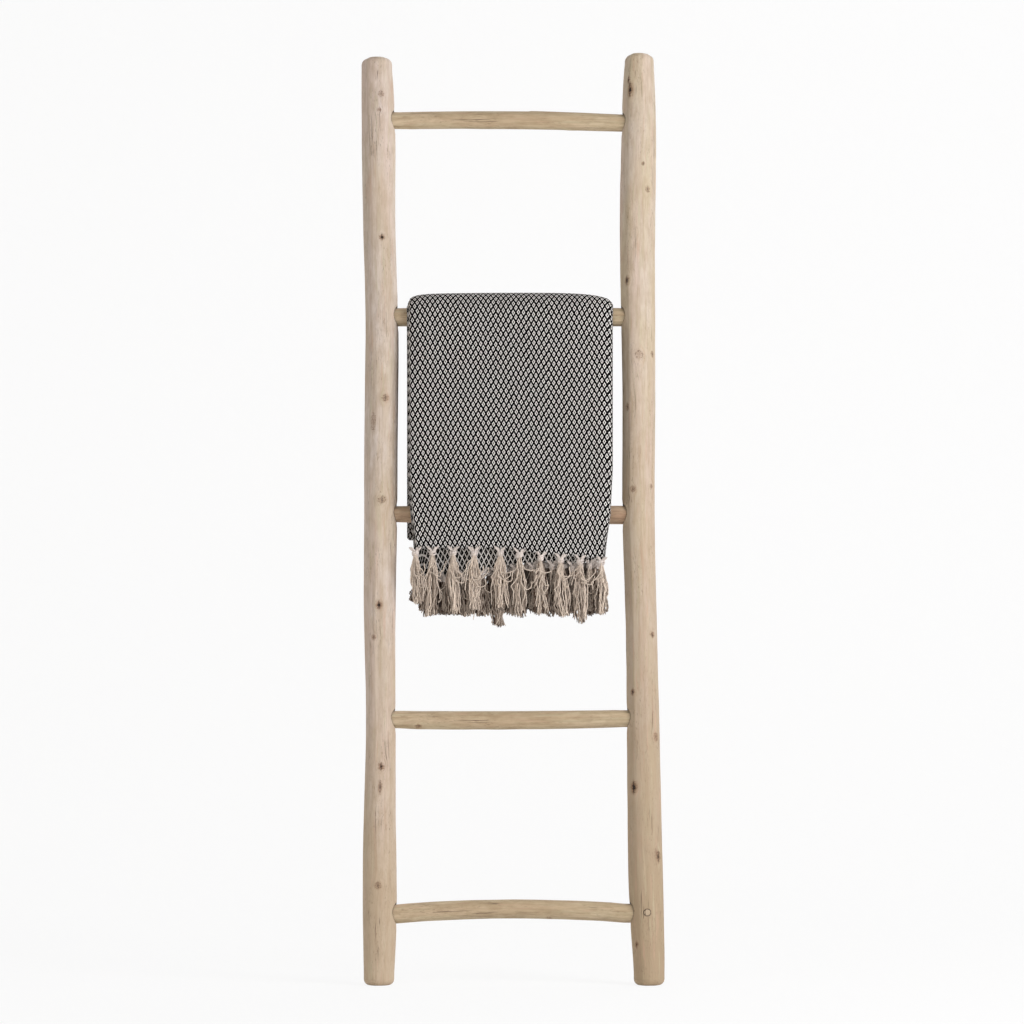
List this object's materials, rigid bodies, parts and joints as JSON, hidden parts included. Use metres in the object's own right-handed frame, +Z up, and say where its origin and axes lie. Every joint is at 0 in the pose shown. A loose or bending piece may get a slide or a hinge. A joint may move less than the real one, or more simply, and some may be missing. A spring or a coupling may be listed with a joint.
{
  "type": "blanket ladder",
  "caption": "Leaning blanket ladder of round debarked wood with pegged rungs, and a folded patterned throw with knotted tassels hung over the second rung.",
  "frame": {"origin": "on the floor, in the middle of the object's box seen from above", "axes": "+Z up, +Y towards the wall that the ladder leans on, +X to the right seen from in front"},
  "size_m": [0.4766, 0.3541, 1.4667],
  "materials": {
    "rail_wood": "bare, drawknife-smoothed, pale weathered teak",
    "rung_wood": "bare, sanded, pale weathered teak",
    "peg_wood": "bare end grain, pared flush",
    "throw_cotton": "matt woven cotton, black and off-white diamond weave",
    "tassel_cotton": "matt twisted cotton yarn"
  },
  "bodies": {
    "ladder": {"left_rail": "rail_wood", "right_rail": "rail_wood", "rung_1": "rung_wood", "rung_2": "rung_wood", "rung_3": "rung_wood", "rung_4": "rung_wood", "rung_5": "rung_wood", "peg_left_1": "peg_wood", "peg_left_2": "peg_wood", "peg_left_3": "peg_wood", "peg_left_4": "peg_wood", "peg_left_5": "peg_wood", "peg_right_1": "peg_wood", "peg_right_2": "peg_wood", "peg_right_3": "peg_wood", "peg_right_4": "peg_wood", "peg_right_5": "peg_wood"},
    "throw": {"throw": "throw_cotton", "fringe_1": "tassel_cotton", "fringe_2": "tassel_cotton", "fringe_3": "tassel_cotton", "fringe_4": "tassel_cotton", "fringe_5": "tassel_cotton", "fringe_6": "tassel_cotton", "fringe_7": "tassel_cotton", "fringe_8": "tassel_cotton"}
  },
  "joints": [
    {"name": "throw_lift", "type": "slide", "parent": "ladder", "child": "throw", "axis": [0, 0, 1], "range_m": [0, 0.4]}
  ]
}
